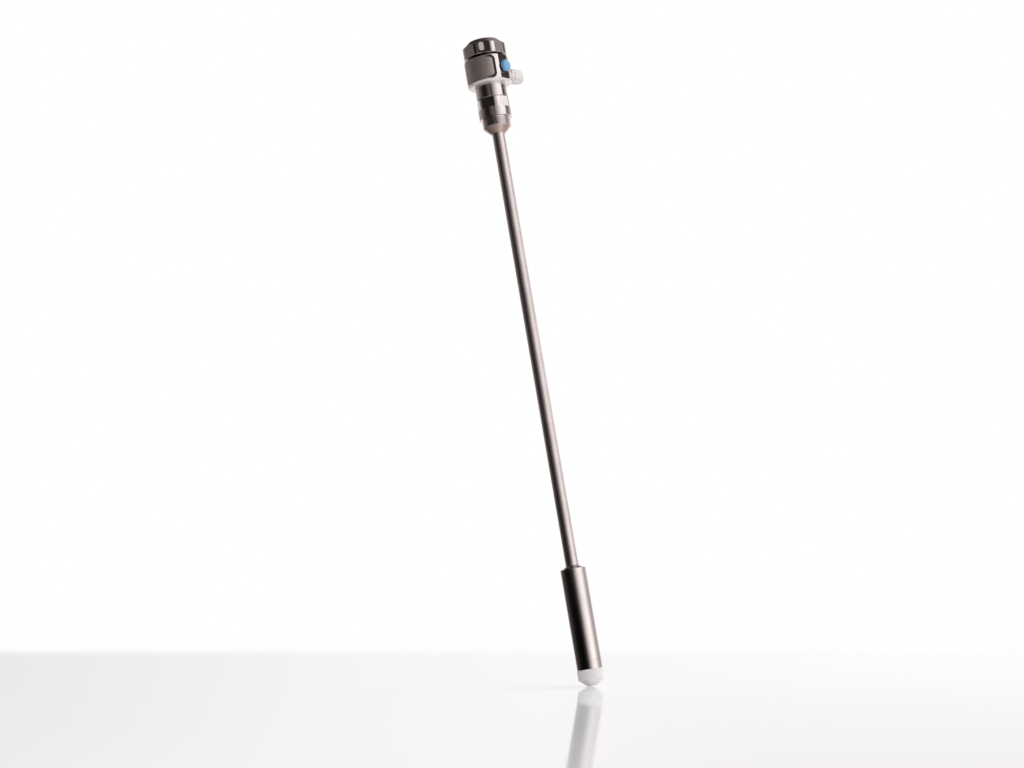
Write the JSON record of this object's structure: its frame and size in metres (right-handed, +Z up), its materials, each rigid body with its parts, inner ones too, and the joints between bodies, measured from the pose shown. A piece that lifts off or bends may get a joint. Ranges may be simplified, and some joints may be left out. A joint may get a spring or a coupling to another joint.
{
  "type": "hydrostatic level transmitter",
  "caption": "Rod-type hydrostatic level transmitter: steel head with screw cover, side cable gland and vent plug, threaded collar, long tube and sensor with a plastic nose cap.",
  "frame": {"origin": "on the rod's axis in the sealing plane under the collar, where the pipe thread starts", "axes": "+Z up along the rod towards the head, +X along the cable gland"},
  "size_m": [0.1105, 0.083, 1.0975],
  "materials": {
    "polished_steel": "polished stainless steel",
    "plain_steel": "plain stainless steel",
    "brass": "nickel-free turned brass",
    "grey_plastic": "light grey polyamide, satin",
    "blue_plastic": "blue moulded plastic",
    "white_plastic": "white polyethylene, slightly translucent",
    "black_rubber": "black elastomer",
    "clear_plastic": "milky tube",
    "membrane": "white breathing membrane",
    "dark_plastic": "black moulded plastic",
    "green_board": "coated glass-fibre board",
    "green_plastic": "green moulded plastic",
    "button_plastic": "grey moulded plastic",
    "ceramic": "white sintered ceramic",
    "potting": "black casting resin"
  },
  "bodies": {
    "stem": {"process_connection": "polished_steel", "swivel_seal": "black_rubber", "retaining_ring": "plain_steel", "rod_tube": "polished_steel", "signal_cable": "black_rubber", "vent_tube": "clear_plastic", "cable_grommet": "black_rubber", "probe_body": "polished_steel", "cell_carrier": "polished_steel", "nose_ring": "black_rubber", "cell_seal": "black_rubber", "measuring_cell": "ceramic", "cell_clamp": "plain_steel", "sensor_electronics": "potting"},
    "head": {"housing": "polished_steel", "set_screw": "plain_steel", "standoffs": "brass", "electronics_cup": "dark_plastic", "circuit_board": "green_board", "board_parts": "dark_plastic", "terminal_plate": "dark_plastic", "insert_screws": "plain_steel", "terminal_block": "green_plastic", "terminal_screws": "plain_steel", "ground_terminal": "brass", "gland_gasket": "black_rubber", "gland_body": "grey_plastic", "vent_seal": "black_rubber", "vent_body": "blue_plastic", "vent_membrane": "membrane", "vent_cap": "blue_plastic"},
    "cover_ring": {"cover_seal": "black_rubber"},
    "screw_cover": {"cover": "polished_steel"},
    "gland_insert": {"gland_seal": "black_rubber"},
    "gland_cap": {"gland_nut": "grey_plastic"},
    "zero_key": {"zero_button": "button_plastic"},
    "span_key": {"span_button": "button_plastic"},
    "nose": {"nose_cap": "white_plastic"}
  },
  "joints": [
    {"name": "housing_swivel", "type": "hinge", "parent": "stem", "child": "head", "pos_m": [0, 0, 0.046], "axis": [0, 0, 1], "range_deg": [-165, 165]},
    {"name": "cover_rise", "type": "slide", "parent": "head", "child": "cover_ring", "axis": [0, 0, 1], "range_m": [0, 0.0081]},
    {"name": "cover_turn", "type": "hinge", "parent": "cover_ring", "child": "screw_cover", "pos_m": [0, 0, 0.122], "axis": [0, 0, 1], "range_deg": [0, 1440]},
    {"name": "gland_travel", "type": "slide", "parent": "head", "child": "gland_insert", "axis": [1, 0, 0], "range_m": [0, 0.0061]},
    {"name": "gland_turn", "type": "hinge", "parent": "gland_insert", "child": "gland_cap", "pos_m": [0.06, 0, 0.08], "axis": [1, 0, 0], "range_deg": [0, 1440]},
    {"name": "zero_press", "type": "slide", "parent": "head", "child": "zero_key", "axis": [0, 0, -1], "range_m": [0, 0.001], "stiffness_N_per_m": 300, "springref_m": -0.0008},
    {"name": "span_press", "type": "slide", "parent": "head", "child": "span_key", "axis": [0, 0, -1], "range_m": [0, 0.001], "stiffness_N_per_m": 300, "springref_m": -0.0008},
    {"name": "nose_pull", "type": "slide", "parent": "stem", "child": "nose", "axis": [0, 0, -1], "range_m": [0, 0.03]}
  ],
  "couplings": [
    {"joint": "cover_rise", "follows": "cover_turn", "m_per_rad": 0.00031831},
    {"joint": "gland_travel", "follows": "gland_turn", "m_per_rad": 0.00023873}
  ]
}
